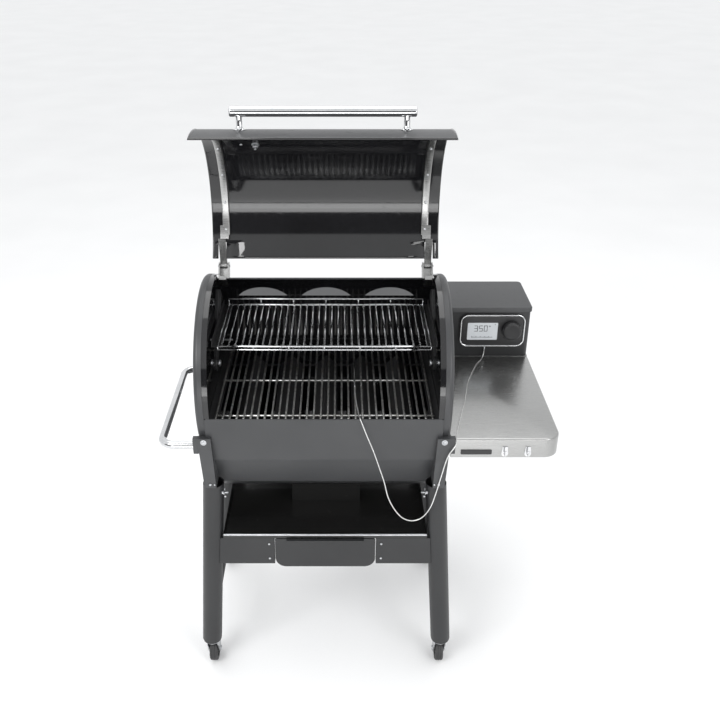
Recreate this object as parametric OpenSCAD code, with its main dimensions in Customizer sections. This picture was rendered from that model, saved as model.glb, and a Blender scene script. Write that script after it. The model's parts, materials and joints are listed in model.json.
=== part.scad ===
// Pellet smoker grill: barrel cookbox on four splayed legs with casters,
// lid standing open, pellet hopper behind, control box and side table on the right.
// Millimetres, +Z up. Lengths below are drawn from the middle of the main grate's
// front cross rod; place() then sets the grill on the floor, centred.

/* [Barrel] */
// Outer radius of the barrel ends
barrel_r = 257; // [250:1:260]
// Height of the barrel axis above the main grate
axis_z = 48; // [44:1:52]
// Sheet thickness of the cookbox
wall = 2.5; // [2:0.5:3]
// Outer face of the end caps, from the middle
cap_out = 338; // [334:1:340]

/* [Lid] */
// How far the lid is shown swung back from closed
lid_open = 83; // [0:1:83]
// Half width of the lid
lid_half = 330; // [326:1:332]
// Angle of the lid's rear edge round the barrel axis
lid_rear = 47; // [47:0.1:52]
// Angle of the lid's front edge round the barrel axis
lid_front = 185; // [180:1:185]
// Stand-off radius of the lid handle from the barrel axis
handle_at = 307; // [300:1:312]
// Angle of the handle round the barrel axis
handle_turn = 168; // [160:1:172]

/* [Grates] */
// Spacing of the grate rods
rod_pitch = 18.7; // [16:0.1:20]
// Number of rods in the main grate
rod_count = 32; // [20:1:32]
// Height of the upper grate above the main one
upper_z = 150; // [140:1:155]

/* [Legs] */
// Height of the main grate above the floor
grate_height = 890; // [880:1:900]
// Outer diameter of a leg tube
leg_d = 58; // [54:1:58]
// Sideways lean of a leg
leg_lean = 4.2; // [3.8:0.1:4.4]
// Caster wheel diameter
wheel_d = 76; // [70:1:80]

/* [Side table and controls] */
// Right edge of the side table and control box
table_right = 638; // [630:1:640]
// Height of the table top below the grate
table_z = -55; // [-57:1:-53]
// Depth of the apron round the table
apron = 58; // [50:1:60]
// Knob radius
knob_r = 29; // [24:1:30]

/* [Hidden] */
$fn = 72;
gap = 0.3;
outline_middle = [93.5, 332.5];     // middle of the grill's outline, seen from above
axis_y = 200;                       // barrel axis behind the front cross rod
front_leg_y = -28;
rear_leg_y = 2 * axis_y - front_leg_y;
hinge = [415, 264];                 // lid hinge line, Y and Z
hopper_hinge = [716, 90];           // hopper lid hinge line
lid_in = barrel_r + 2.5;            // inner radius of the lid
lid_out = lid_in + 2.5;
rim_turn = 49.3;                    // where the cookbox's rear rim ends
floor_z = -grate_height;
leg_top = -203;
leg_foot = -782;
leg_top_x = 308;
leg_foot_x = leg_top_x + (leg_top - leg_foot) * tan(leg_lean);
// Cookbox outline under the grate, front lip down, along the bottom and up the rear
trough = [[-56, 16], [-34, -123], [10, -225], [130, -320],
          [270, -320], [390, -225], [434, -123], [456, 16]];
table_front = -39;
table_left = 341;
box_front = 446.5;
bezel_face = 432.5;
knob_at = [575, 45];                // X and Z
port_y = 439.5;
port_x = [457, 477, 497, 517];
plug_x = 497;

// ---------- shared shapes ----------

// Sets the grill on the floor with the origin under the middle of its outline
module place() translate([-outline_middle[0], -outline_middle[1], grate_height]) children();

module both_sides() for (s = [0, 1]) mirror([s, 0, 0]) children();

module front_and_rear() for (s = [0, 1]) translate([0, axis_y, 0]) mirror([0, s, 0])
    translate([0, -axis_y, 0]) children();

// Sweeps an outline drawn in Y and Z from x0 to x1
module along_x(x0, x1) translate([x0, 0, 0]) rotate([90, 0, 90])
    linear_extrude(x1 - x0) children();

// Sweeps an outline drawn in X and Z from y0 to y1
module along_y(y0, y1) translate([0, y1, 0]) rotate([90, 0, 0])
    linear_extrude(y1 - y0) children();

module block(x, y, z) translate([x[0], y[0], z[0]])
    cube([x[1] - x[0], y[1] - y[0], z[1] - z[0]]);

module rod_x(x0, x1, y, z, r, n = $fn) translate([x0, y, z]) rotate([0, 90, 0])
    cylinder(h = x1 - x0, r = r, $fn = n);

module rod_y(x, y0, y1, z, r, n = $fn) translate([x, y0, z]) rotate([-90, 0, 0])
    cylinder(h = y1 - y0, r = r, $fn = n);

module rod_z(x, y, z0, z1, r, n = $fn) translate([x, y, z0])
    cylinder(h = z1 - z0, r = r, $fn = n);

// Part of a ring round the barrel axis, angles from the rear over the top
module ring(r0, r1, a0, a1) translate([axis_y, axis_z]) intersection() {
    difference() { circle(r1); circle(r0); }
    polygon([[0, 0], for (i = [0:4]) 2 * r1 * [cos(a0 + (a1 - a0) * i / 4),
        sin(a0 + (a1 - a0) * i / 4)]]);
}

// A radial stud on the barrel's curve
module radial(x, turn, r0, r1, r) translate([x, axis_y, axis_z]) rotate([turn - 90, 0, 0])
    translate([0, 0, r0]) cylinder(h = r1 - r0, r = r);

module round_rect(x, y, r) {
    translate([x[0] + r, y[0]]) square([x[1] - x[0] - 2 * r, y[1] - y[0]]);
    translate([x[0], y[0] + r]) square([x[1] - x[0], y[1] - y[0] - 2 * r]);
    for (u = [x[0] + r, x[1] - r], v = [y[0] + r, y[1] - r]) translate([u, v]) circle(r);
}

function unit(v) = v / norm(v);
function turn_left(v) = [-v[1], v[0]];

// The outline moved inward by t, for a convex outline that runs anticlockwise
function inset(p, t) = [for (i = [0:len(p) - 1])
    let (n = len(p),
         a = turn_left(unit(p[i] - p[(i + n - 1) % n])),
         b = turn_left(unit(p[(i + 1) % n] - p[i])))
    p[i] + t * (a + b) / (1 + a * b)];

module lid_pose() translate([0, hinge[0], hinge[1]]) rotate([-lid_open, 0, 0])
    translate([0, -hinge[0], -hinge[1]]) children();

// ---------- legs and casters ----------

module leg_bar(y, r, z0, z1) intersection() {
    translate([leg_top_x, y, leg_top]) rotate([0, -leg_lean, 0])
        translate([0, 0, -700]) cylinder(h = 800, r = r);
    block([200, 460], [y - 60, y + 60], [z0, z1]);
}

module leg(y) difference() {
    leg_bar(y, leg_d / 2, leg_foot, leg_top);
    leg_bar(y, leg_d / 2 - 2, leg_foot - 1, leg_top + 1);
}

module front_legs() color("dimgray") place() both_sides() leg(front_leg_y);

module rear_legs() color("dimgray") place() both_sides() leg(rear_leg_y);

// Closes a leg's foot and takes the caster stem
module leg_plugs() color("black") place() both_sides()
    for (y = [front_leg_y, rear_leg_y]) difference() {
        union() {
            rod_z(leg_foot_x, y, leg_foot - 6, leg_foot, leg_d / 2 - 1);
            rod_z(leg_foot_x, y, leg_foot - 1, -750, 11);
        }
        rod_z(leg_foot_x, y, leg_foot - 7, -749, 5.15);
    }

// Cast arm that holds the cookbox on a leg, with the outer plate that takes the side rail
module leg_brackets() color("dimgray") place() both_sides() difference() {
    union() {
        front_and_rear() along_y(-58, 20)
            polygon([[302, -43], [338, -43], [328, -202], [296, -202]]);
        block([336, 350], [-57, -42], [-90, -42.5]);
    }
    along_x(290, 315.9) polygon(inset(trough, -gap));
    rod_x(315.5, 339, axis_y, axis_z, barrel_r + gap);
}

module lower_frame() color("dimgray") place() difference() {
    union() {
        both_sides() rod_y(leg_top_x + 497 * tan(leg_lean), -20, 420, -700, 12.5);
        rod_x(-340, 340, rear_leg_y, -640, 12.5);
    }
    both_sides() for (y = [front_leg_y, rear_leg_y])
        leg_bar(y, leg_d / 2 + gap, leg_foot, leg_top);
}

fork_offset = 22;
axle_z = floor_z + wheel_d / 2;

module fork(side, y) place() translate([side * leg_foot_x, y, 0]) {
    rod_z(0, 0, -795, -790, 22);
    rod_z(0, 0, -791, -756, 5);
    both_sides() difference() {
        along_x(15, 18) polygon([[-12, -792], [-12, -806], [14, axle_z - 9], [30, axle_z - 9],
            [40, -812], [40, -800], [22, -792]]);
        rod_x(10, 20, fork_offset, axle_z, 4.2);
    }
    rod_x(-20, 20, fork_offset, axle_z, 4);
    both_sides() rod_x(18.2, 21, fork_offset, axle_z, 7);
    rod_x(-18, 18, 34, -806, 2.5);
}

module wheel(side, y) place() translate([side * leg_foot_x, y + fork_offset, axle_z])
    rotate([0, 90, 0]) difference() {
        union() {
            cylinder(h = 17, r = wheel_d / 2, center = true);
            cylinder(h = 21, r = wheel_d / 2 - 1, center = true);
            cylinder(h = 24, r = wheel_d / 2 - 3, center = true);
            cylinder(h = 28, r = 10, center = true);
        }
        cylinder(h = 30, r = 4.15, center = true);
        for (s = [-1, 1]) translate([0, 0, s * 12.1]) difference() {
            cylinder(h = 8, r = wheel_d / 2 - 10, center = true);
            cylinder(h = 9, r = 10, center = true);
        }
    }

// Pedal that a foot presses to lock the wheel
module brake_lever(side) place() translate([side * leg_foot_x, front_leg_y, 0]) difference() {
    union() {
        rod_x(-13.5, 13.5, 34, -806, 5);
        along_x(-12, 12) polygon([[34, -801.2], [34, -804.5], [70, -800], [72, -797]]);
        along_x(-10, 10) polygon([[31, -806], [37, -806], [35, -811.5], [33, -811.5]]);
    }
    rod_x(-15, 15, 34, -806, 2.7);
}

module front_left_fork() color("silver") fork(-1, front_leg_y);
module front_right_fork() color("silver") fork(1, front_leg_y);
module rear_left_fork() color("silver") fork(-1, rear_leg_y);
module rear_right_fork() color("silver") fork(1, rear_leg_y);
module front_left_wheel() color("black") wheel(-1, front_leg_y);
module front_right_wheel() color("black") wheel(1, front_leg_y);
module rear_left_wheel() color("black") wheel(-1, rear_leg_y);
module rear_right_wheel() color("black") wheel(1, rear_leg_y);
module left_brake_lever() color("red") brake_lever(-1);
module right_brake_lever() color("red") brake_lever(1);

// ---------- crossbar, tray and drawer ----------

module front_crossbar() color("gray") place() both_sides() difference() {
    union() {
        block([145.5, 325], [-48, -45.5], [-476, -384]);
        block([145.5, 325], [-48, -28], [-386.5, -384]);
        block([145.5, 325], [-48, -28], [-476, -473.5]);
        block([145.5, 148], [-48, -28], [-476, -384]);
    }
    leg_bar(front_leg_y, leg_d / 2 + gap, leg_foot, leg_top);
}

module heat_shield_tray() color("black") place() difference() {
    union() {
        block([-290, 290], [-47, 424], [-383.5, -382]);
        block([-290, 290], [-48, -45.5], [-383.5, -373]);
        rod_x(-290, 290, -46, -373, 3);
        both_sides() block([288.5, 290], [-47, 424], [-383.5, -370]);
        block([-290, 290], [422.5, 424], [-383.5, -370]);
        block([-102, 102], [128, 272], [-383, -321]);
    }
    block([-100, 100], [130, 270], [-390, -320]);
    both_sides() for (y = [front_leg_y, rear_leg_y])
        leg_bar(y, leg_d / 2 + gap, leg_foot, leg_top);
}

module drawer_rails() color("gray") place() {
    both_sides() {
        block([139, 141], [-43, 332], [-472.5, -383.8]);
        block([126, 141], [-43, 332], [-472.5, -470.6]);
    }
    block([-141, 141], [330, 332], [-472.5, -383.8]);
}

module drawer_front() color("dimgray") place() {
    along_y(-50, -47.5) {
        translate([-143, -455]) square([286, 70]);
        round_rect([-143, 143], [-485, -386], 30);
    }
    block([-110, 110], [-57, -50], [-389.5, -386]);
}

module open_box(x, y, z, t) difference() {
    block(x, y, z);
    block([x[0] + t, x[1] - t], [y[0] + t, y[1] - t], [z[0] + t, z[1] + 1]);
}

module drawer_tray() color("silver") place()
    open_box([-125, 125], [-47.2, 312], [-470, -402], 1.5);

module drip_pan() color("lightgray") place()
    open_box([-118, 118], [-38, 296], [-468.2, -432], 1.2);

// ---------- cookbox ----------

exhaust_w = 149;
exhaust_h = 36;
exhaust_r = (exhaust_w * exhaust_w / 4 + exhaust_h * exhaust_h) / (2 * exhaust_h);

module exhaust_slot(x) along_y(380, 440) intersection() {
    translate([x, 162 + exhaust_h - exhaust_r]) circle(exhaust_r);
    translate([x - exhaust_w / 2, 162]) square([exhaust_w, exhaust_h]);
}

module cookbox_shell() color("dimgray") place() {
    inner = inset(trough, wall);
    difference() {
        union() {
            along_x(-315.5, 315.5) difference() {
                polygon(trough);
                polygon(inner);
                translate([inner[0][0], 5]) square([inner[7][0] - inner[0][0], 20]);
            }
            along_x(-314, 314) ring(barrel_r - wall, barrel_r - 0.1, -7, rim_turn);
            both_sides() along_x(313, 315.5) union() {
                polygon(trough);
                translate([axis_y, axis_z]) circle(barrel_r);
            }
            both_sides() along_x(301.5, 313.5) ring(barrel_r - 3, barrel_r - 0.2, 62, 187);
        }
        for (x = [-192, 0, 192]) exhaust_slot(x);
        block([-100, 100], [140, 260], [-325, -316]);
        rod_y(0, 300, 460, -235, 24.4);
        block([-136, -99], [330, 460], [-263, -227]);
        both_sides() along_x(301, 318)
            ring(barrel_r - 20, barrel_r + 2, rim_turn + 0.2, 63);
        rod_x(-318, -310, 330, 60, 3.3);
    }
}

// Dished drum end
module end_cap() translate([0, axis_y, axis_z]) rotate([0, 90, 0]) rotate_extrude() {
    translate([0, cap_out - 3]) square([barrel_r - 12, 3]);
    translate([barrel_r - 12, cap_out - 12]) intersection() {
        difference() { circle(12); circle(9); }
        square(12);
    }
    translate([barrel_r - 3, 316]) square([3, cap_out - 12 - 316]);
}

module left_end_cap() color("dimgray") place() mirror([1, 0, 0]) end_cap();
module right_end_cap() color("dimgray") place() end_cap();

module side_plates() color("black") place() both_sides() {
    along_x(309, 312.7) union() {
        polygon([[178, 46], [222, 40], [372, 190], [352, 214], [318, 228]]);
        translate([axis_y, 50]) circle(22);
    }
    rod_x(304, 309, axis_y, 50, 9);
}

module heat_bars() color("dimgray") place() for (x = [-220:110:220])
    along_y(-18, 418) polygon([[x - 34, -68], [x, -36], [x + 34, -68],
        [x + 31, -70], [x, -39.5], [x - 31, -70]]);

module main_grate() color("silver") place() {
    for (i = [0:rod_count - 1])
        rod_y((i - (rod_count - 1) / 2) * rod_pitch, -26, 417, 0, 3, 8);
    for (y = [0, 195, 390]) rod_x(-296, 296, y, -5.6, 3.5, 8);
}

upper_rods = 31;

module upper_grate() color("silver") place() {
    for (i = [0:upper_rods - 1])
        rod_y((i - (upper_rods - 1) / 2) * rod_pitch, 106, 385, upper_z, 2.5, 8);
    both_sides() rod_y(291, 104, 387, upper_z, 2.5, 8);
    for (y = [106, 385]) rod_x(-293, 293, y, upper_z, 2.7, 8);
    rod_x(-293, 293, 106, upper_z - 10, 2.5, 8);
    rod_x(-293, 293, 385, upper_z + 19, 2.5, 8);
    for (x = [-291:97:291]) {
        rod_z(x, 106, upper_z - 10, upper_z, 2.2, 8);
        rod_z(x, 385, upper_z, upper_z + 19, 2.2, 8);
    }
}

module grate_ledges() color("dimgray") place() {
    both_sides() {
        block([284, 312.7], [-40, 430], [-12.2, -9.7]);
        block([310.2, 312.7], [-40, 430], [-24, -9.7]);
        block([284, 308.5], [112, 396], [upper_z - 5.2, upper_z - 3.2]);
        block([306, 308.5], [112, 396], [upper_z - 5.2, upper_z + 12]);
    }
    block([-312.7, 312.7], [-24, -12], [-73.5, -71]);
    block([-312.7, 312.7], [412, 424], [-73.5, -71]);
}

// ---------- lid hinge ----------

module hinge_brackets() color("silver") place() both_sides() {
    for (x = [[286, 290.5], [313, 317.5]]) difference() {
        along_x(x[0], x[1]) difference() {
            union() {
                translate(hinge) circle(11);
                polygon([hinge + [10.8, -2], hinge + [-9, 6.3], [377, 234], [401, 205]]);
            }
            translate([axis_y, axis_z]) circle(barrel_r + 0.8);
        }
        rod_x(x[0] - 1, x[1] + 1, hinge[0], hinge[1], 4.05);
    }
    along_x(286, 317.5) ring(barrel_r + 0.8, barrel_r + 4, 37.5, 46);
    along_x(291, 312) ring(barrel_r + 0.8, barrel_r + 4, 40, 51.2);
    along_x(291, 312) ring(barrel_r - 7, barrel_r + 4, 49.9, 51.2);
    along_x(291, 312) ring(barrel_r - 7, barrel_r - wall - 0.4, 39, 51.2);
}

module hinge_pins() color("silver") place() both_sides() {
    rod_x(284, 319.5, hinge[0], hinge[1], 4);
    rod_x(161, 239, hopper_hinge[0], hopper_hinge[1], 2.5);
}

// ---------- lid ----------

module lid_shell() color("dimgray") place() lid_pose() difference() {
    union() {
        along_x(-lid_half, lid_half) ring(lid_in, lid_out, lid_rear, lid_front);
        along_x(0.3 - lid_half, lid_half - 0.3)
            ring(lid_out - 0.5, lid_out + 2.5, lid_front - 3, lid_front - 0.1);
        both_sides() along_x(lid_half - 5, lid_half - 0.6)
            ring(lid_out - 0.5, lid_out + 1.5, lid_rear + 0.1, lid_front - 1.5);
    }
    both_sides() along_x(289.5, 313.5) ring(lid_in - 5, lid_out + 9, lid_rear - 3, 60.5);
}

module lid_straps() color("silver") place() lid_pose() both_sides() difference() {
    along_x(279, 299) ring(248.5, lid_in - gap, 61.5, 178);
    along_x(280.5, 297.5) ring(250, lid_in + 1, 60, 180);
}

module lid_arms() color("silver") place() lid_pose() both_sides() difference() {
    union() {
        along_x(292.5, 311.5) {
            polygon([[318, 262], [hinge[0], 262], [hinge[0], 266], [318, 266]]);
            ring(244, 248, 61, 75);
        }
        rod_x(292.5, 311.5, hinge[0], hinge[1], 8);
    }
    rod_x(290, 313, hinge[0], hinge[1], 4.15);
}

module lid_handle() color("silver") place() lid_pose() {
    translate([0, axis_y + handle_at * cos(handle_turn), axis_z + handle_at * sin(handle_turn)])
        rotate([0, 90, 0]) cylinder(h = 470, r = 13, center = true);
    both_sides() radial(210, handle_turn, lid_out + 0.2, handle_at - 6, 8);
}

module lid_fasteners() color("white") place() lid_pose() both_sides() {
    radial(210, handle_turn, lid_in - 6.2, lid_in - 0.2, 7);
    radial(238, handle_turn, lid_in - 2.7, lid_in - 0.2, 4);
    for (turn = [92, 120, 148, 172]) radial(289, turn, 245.8, 248.3, 4);
}

// ---------- fire system ----------

module burn_pot() color("dimgray") place() difference() {
    rod_z(0, axis_y, -300, -212, 46);
    rod_z(0, axis_y, -296, -211, 43);
    rod_y(0, axis_y, axis_y + 60, -235, 24.4);
    rod_x(0, 60, axis_y, -270, 5.3);
    for (a = [100:40:260]) translate([0, axis_y, -282]) rotate([0, 90, a])
        cylinder(h = 60, r = 3);
}

module auger_tube() color("gray") place() difference() {
    union() {
        rod_y(0, 244.5, 636, -235, 24);
        block([-30, 30], [552, 628], [-216, -208.4]);
    }
    rod_y(0, 240, 630, -235, 22);
    rod_y(0, 625, 640, -235, 5);
    block([-18, 18], [560, 620], [-235, -205]);
}

module auger_screw() color("silver") place() {
    translate([0, 626, -235]) rotate([90, 0, 0])
        linear_extrude(height = 374, twist = 2700, slices = 80, $fn = 8) {
            circle(6);
            translate([-2, -20]) square([4, 40]);
        }
    rod_y(0, 626, 652, -235, 4);
}

module auger_motor() color("black") place() difference() {
    union() {
        block([-32, 32], [637, 668], [-268, -209]);
        rod_y(0, 668, 700, -235, 24);
    }
    rod_y(0, 636, 660, -235, 4.2);
}

fan_x = -150;
fan_z = -245;

module fan_housing() color("black") place() difference() {
    union() {
        rod_y(fan_x, 470, 504, fan_z, 44);
        block([-135, -100], [340, 504], [-262, -228]);
    }
    rod_y(fan_x, 473, 501, fan_z, 41);
    rod_y(fan_x, 500, 506, fan_z, 22);
    rod_y(fan_x, 469, 474, fan_z, 3.2);
    block([-133, -102], [339, 501], [-260, -230]);
}

module fan_impeller() color("silver") place() {
    rod_y(fan_x, 476, 478, fan_z, 37);
    rod_y(fan_x, 458, 500, fan_z, 3);
    rod_y(fan_x, 476, 492, fan_z, 8);
    for (a = [0:45:315]) translate([fan_x, 477, fan_z]) rotate([0, a, 0])
        block([24, 36], [0, 19], [-1, 1]);
}

module igniter() color("silver") place() {
    rod_x(40, 130, axis_y, -270, 5);
    rod_x(60, 66, axis_y, -270, 9);
}

module temp_sensor() color("silver") place() {
    rod_x(-320, -279, 330, 60, 3);
    rod_x(-312.8, -310, 330, 60, 9);
}

// ---------- hopper ----------

hopper_outline = [[-300, 85], [-300, -70], [-70, -208], [70, -208], [300, -70], [300, 85]];

module hopper_body() color("dimgray") place() {
    inner = inset(hopper_outline, 2);
    difference() {
        along_y(458, 712) polygon(hopper_outline);
        along_y(460, 710) polygon([for (i = [0:5]) i == 0 || i == 5
            ? [inner[i][0], 90] : inner[i]]);
        block([-18, 18], [560, 620], [-215, -200]);
    }
    both_sides() for (x = [164, 232]) along_x(x, x + 4) difference() {
        union() {
            translate(hopper_hinge) circle(7);
            polygon([[711, 50], [711, 84], [716, 90], [722, 88], [718, 50]]);
        }
        translate(hopper_hinge) circle(2.55);
        translate([700, 85]) square([9, 20]);
    }
}

module hopper_lid() color("dimgray") place() difference() {
    union() {
        block([-303, 303], [457.5, 706], [86, 89]);
        both_sides() {
            block([170, 230], [700, 716], [86, 89]);
            rod_x(170, 230, hopper_hinge[0], hopper_hinge[1], 6);
            block([50, 62], [466, 480], [88, 99]);
        }
        block([-62, 62], [466, 480], [99, 103]);
    }
    both_sides() rod_x(169, 231, hopper_hinge[0], hopper_hinge[1], 2.65);
}

// ---------- side table ----------

corner_r = 45;

// Table outline with its rounded front right corner
module table_outline(t) {
    x1 = table_right - t;
    y0 = table_front + t;
    r = corner_r - t;
    translate([table_left, y0]) square([x1 - table_left - r, 446 - t - y0]);
    translate([table_left, y0 + r]) square([x1 - table_left, 446 - t - y0 - r]);
    translate([x1 - r, y0 + r]) circle(r);
}

module side_table() color("silver") place() difference() {
    translate([0, 0, table_z - apron]) linear_extrude(apron) table_outline(0);
    translate([0, 0, table_z - apron - 1]) linear_extrude(apron - 1) {
        table_outline(2);
        translate([table_left - 1, table_front + 2]) square([50, 443 - table_front]);
    }
}

module table_arms() color("dimgray") place() {
    for (y = [20, 340]) block([338.4, 600], [y, y + 30], [-87, table_z - 2.3]);
    block([300.4, 600], [480, 520], [-88, -55.3]);
}

module tool_hooks() color("silver") place() for (x = [487, 549]) {
    block([x - 9, x + 9], [table_front - 3, table_front - 0.2], [-104, -76]);
    rod_y(x, table_front - 14, table_front - 2, -96, 2.4);
    rod_z(x, table_front - 14, -96, -84, 2.4);
    translate([x, table_front - 14, -96]) sphere(2.7);
}

// ---------- control box ----------

module box_outline(t) round_rect([table_left + 6 + t, table_right - 3 - t],
    [box_front + t, 652 - t], 22 - t);

module control_housing() color("dimgray") place() difference() {
    translate([0, 0, table_z]) linear_extrude(155) box_outline(0);
    translate([0, 0, table_z + 2]) linear_extrude(160) box_outline(2);
    rod_y(knob_at[0], 440, 452, knob_at[1], 8);
    block([478.5, 521.5], [645, 660], [-12.5, 12.5]);
}

module control_top() color("gray") place() difference() {
    translate([0, 0, 100.4]) linear_extrude(14.6)
        round_rect([table_left + 3, table_right], [440, 656], 28);
    translate([0, 0, 100]) linear_extrude(13)
        round_rect([table_left + 5, table_right - 2], [442, 654], 26);
}

module control_bezel() color("silver") place() difference() {
    along_y(bezel_face, box_front - 0.2) round_rect([416, 618], [-15, 94], 25);
    along_y(bezel_face + 3, box_front + 1) round_rect([420, 614], [-11, 90], 21);
    rod_y(knob_at[0], 430, 440, knob_at[1], 4.3);
    for (x = port_x) rod_z(x, port_y, -16, -10, 3.4);
}

module display_panel() color("white") place()
    along_y(bezel_face - 1.4, bezel_face - 0.2) round_rect([439, 533], [9, 67], 3);

module control_knob() color("black") place() {
    rod_y(knob_at[0], 412, 430, knob_at[1], knob_r);
    rod_y(knob_at[0], 410, 412.5, knob_at[1], knob_r - 2.5);
    rod_y(knob_at[0], 429, 458, knob_at[1], 4);
    block([knob_at[0] - 1, knob_at[0] + 1], [409.4, 411], [knob_at[1] + 12, knob_at[1] + 26]);
}

// Sockets for meat probes, in the underside of the control panel
module probe_ports() color("black") place() for (x = port_x) difference() {
    union() {
        rod_z(x, port_y, -16.5, 4, 3.2);
        rod_z(x, port_y, -16.8, -15.2, 5);
    }
    rod_z(x, port_y, -17, -1, 1.3);
}

module power_inlet() color("black") place() {
    difference() {
        union() {
            block([475, 525], [652.2, 654.2], [-15, 15]);
            block([479, 521], [628, 653], [-12, 12]);
        }
        block([487, 513], [634, 655], [-8.5, 8.5]);
    }
    for (p = [[-7, -2], [7, -2], [0, 3]])
        block([499 + p[0], 501 + p[0]], [633, 648], [p[1] - 2, p[1] + 2]);
}

// ---------- side rail ----------

rail_r = 11;
rail_x = -440;
bend = 35;

module rail_bend(y, turn) translate([rail_x + bend, y, -73]) rotate([0, 0, turn])
    rotate_extrude(angle = 90) translate([bend, 0]) circle(rail_r);

module side_rail() color("silver") place() {
    rod_y(rail_x, table_front + bend, 392 - bend, -73, rail_r);
    rail_bend(392 - bend, 90);
    rail_bend(table_front + bend, 180);
    rod_x(rail_x + bend, -338.5, 392, -73, rail_r);
    rod_x(rail_x + bend, -350.3, table_front, -73, rail_r - 0.4);
    rod_x(-344, -338.5, 392, -73, 17);
}

// ---------- meat probe ----------

// Where the probe cable lies, from the plug over the table and the front lip to the grate
cable_d = 3;
cable_route = [
    [497, 439.5, -34], [496, 437, -42], [492, 429, -50], [484, 414, -53.3],
    [474, 400, -53.4], [461, 372, -53.4], [444, 326, -53.4], [428, 279, -53.4],
    [413, 212, -53.4], [398, 144, -53.4], [386, 98, -53.4], [374, 50, -53.4],
    [362, 2, -53.4], [356.5, -24, -53.4], [354.5, -38, -52.8], [353.3, -50, -56],
    [349, -61, -63], [341, -66, -73], [334, -66, -85], [326, -66, -110],
    [316, -66, -158], [303, -66, -220], [291, -66, -263], [270, -66, -296],
    [243, -66, -307], [216, -66, -297], [193, -66, -268], [174, -66, -226],
    [162, -66, -175], [146, -66, -122], [130, -66, -72], [113, -65.5, -27],
    [102, -64, 4], [96.5, -59.5, 16.5], [94.5, -52, 19.6], [93.5, -40, 15.5],
    [92.5, -22, 7], [91, 5, 4.8], [87, 50, 4.8], [84.3, 95, 4.8], [84, 128, 5.6], [84, 140, 6]];

// A smooth curve through the points, with n steps from each point to the next
function smooth(p, n) = [for (i = [0:len(p) - 2], k = [0:n - 1])
    let (a = p[max(i - 1, 0)], b = p[i], c = p[i + 1], d = p[min(i + 2, len(p) - 1)], u = k / n)
    0.5 * (2 * b + (c - a) * u + (2 * a - 5 * b + 4 * c - d) * u * u
        + (3 * b - a - 3 * c + d) * u * u * u),
    p[len(p) - 1]];

// A closed tube of n sides along the points
module tube(p, r, n) {
    last = len(p) - 1;
    t = [for (i = [0:last]) unit(p[min(i + 1, last)] - p[max(i - 1, 0)])];
    side = [for (i = 0, v = unit(cross(t[0], [1, 0.2, 0])); i <= last;
        i = i + 1, v = i <= last ? unit(v - (v * t[i]) * t[i]) : v) v];
    points = [for (i = [0:last], k = [0:n - 1])
        p[i] + r * (cos(360 * k / n) * side[i] + sin(360 * k / n) * cross(t[i], side[i]))];
    faces = [for (i = [0:last - 1], k = [0:n - 1], h = [0, 1])
        let (a = i * n + k, b = i * n + (k + 1) % n)
        h == 0 ? [a, a + n, b] : [b, a + n, b + n]];
    polyhedron(points, concat(faces, [[for (k = [0:n - 1]) k]],
        [[for (k = [n - 1:-1:0]) last * n + k]]), convexity = 10);
}

module probe_plug() color("silver") place() {
    rod_z(plug_x, port_y, -18, -4, 1.15);
    rod_z(plug_x, port_y, -26, -17.1, 3.4);
    translate([plug_x, port_y, -34]) cylinder(h = 8, r1 = 1.9, r2 = 3);
}

module probe_cable() color("gainsboro") place()
    tube(smooth(cable_route, 2), cable_d / 2, 8);

module meat_probe() color("silver") place() {
    rod_y(84, 140, 168, 6, 2.7);
    rod_y(84, 167, 290, 6, 1.6);
    translate([84, 290, 6]) rotate([-90, 0, 0]) cylinder(h = 12, r1 = 1.6, r2 = 0.3);
}

front_legs();
rear_legs();
leg_plugs();
leg_brackets();
lower_frame();
front_left_fork();
front_right_fork();
rear_left_fork();
rear_right_fork();
front_left_wheel();
front_right_wheel();
rear_left_wheel();
rear_right_wheel();
left_brake_lever();
right_brake_lever();
front_crossbar();
heat_shield_tray();
drawer_rails();
drawer_front();
drawer_tray();
drip_pan();
cookbox_shell();
left_end_cap();
right_end_cap();
side_plates();
heat_bars();
main_grate();
upper_grate();
grate_ledges();
hinge_brackets();
hinge_pins();
lid_shell();
lid_straps();
lid_arms();
lid_handle();
lid_fasteners();
burn_pot();
auger_tube();
auger_screw();
auger_motor();
fan_housing();
fan_impeller();
igniter();
temp_sensor();
hopper_body();
hopper_lid();
side_table();
table_arms();
tool_hooks();
control_housing();
control_top();
control_bezel();
display_panel();
control_knob();
probe_ports();
power_inlet();
side_rail();
probe_plug();
probe_cable();
meat_probe();
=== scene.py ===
"""Looks for a pellet smoker grill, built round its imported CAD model.

Blender works in metres in the CAD's own frame. at(x, y, z) takes millimetres from the middle of the
main grate's front cross rod, X right, Y back and Z up, which is how the grill itself is laid out.
"""

import json
import math

import bmesh
import bpy
from mathutils import Matrix, Vector


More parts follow.
